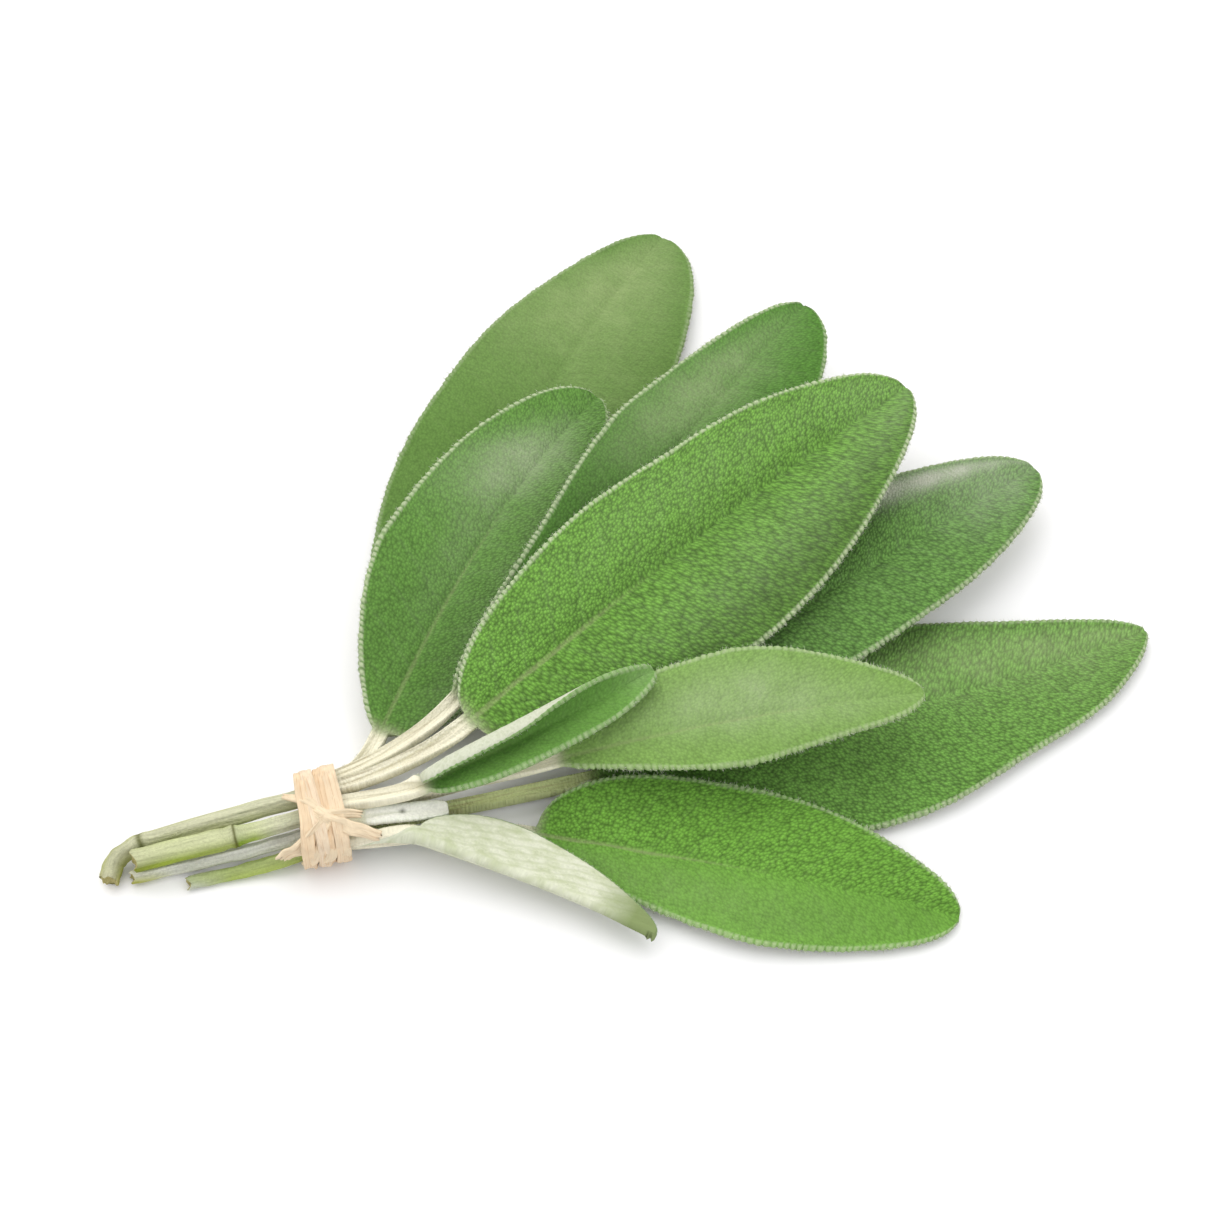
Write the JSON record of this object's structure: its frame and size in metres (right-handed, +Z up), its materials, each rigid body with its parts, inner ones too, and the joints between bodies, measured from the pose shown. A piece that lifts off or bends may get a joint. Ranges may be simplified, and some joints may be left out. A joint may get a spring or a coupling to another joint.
{
  "type": "sage bunch",
  "caption": "Small bunch of fresh garden sage lying flat: long leaves with fine toothed margins on short cut square stems, held together by a raffia tie.",
  "frame": {"origin": "under the middle of the whole bunch, on the surface that it lies on", "axes": "+X from the cut stems towards the leaf tips, +Z up from the surface"},
  "size_m": [0.1314, 0.1137, 0.0158],
  "materials": {
    "leaf_green": "soft, finely pebbled and felted",
    "leaf_grey": "velvety, grey-green",
    "leaf_felt": "white felt of the leaf's underside",
    "stem_green": "smooth, downy",
    "stem_felt": "downy, pale",
    "raffia": "dry fibres, satin"
  },
  "bodies": {
    "root": {"leaf_back": "leaf_grey", "leaf_left": "leaf_green", "leaf_upper": "leaf_green", "leaf_center": "leaf_green", "leaf_right": "leaf_green", "leaf_far_right": "leaf_green", "leaf_velvet": "leaf_grey", "leaf_curled": "leaf_green", "leaf_front": "leaf_green", "leaf_folded": "leaf_felt", "leaf_young": "leaf_felt", "stem_upper": "stem_felt", "stem_square": "stem_green", "stem_pale": "stem_felt", "stem_lower": "stem_green", "tie": "raffia"}
  },
  "joints": []
}
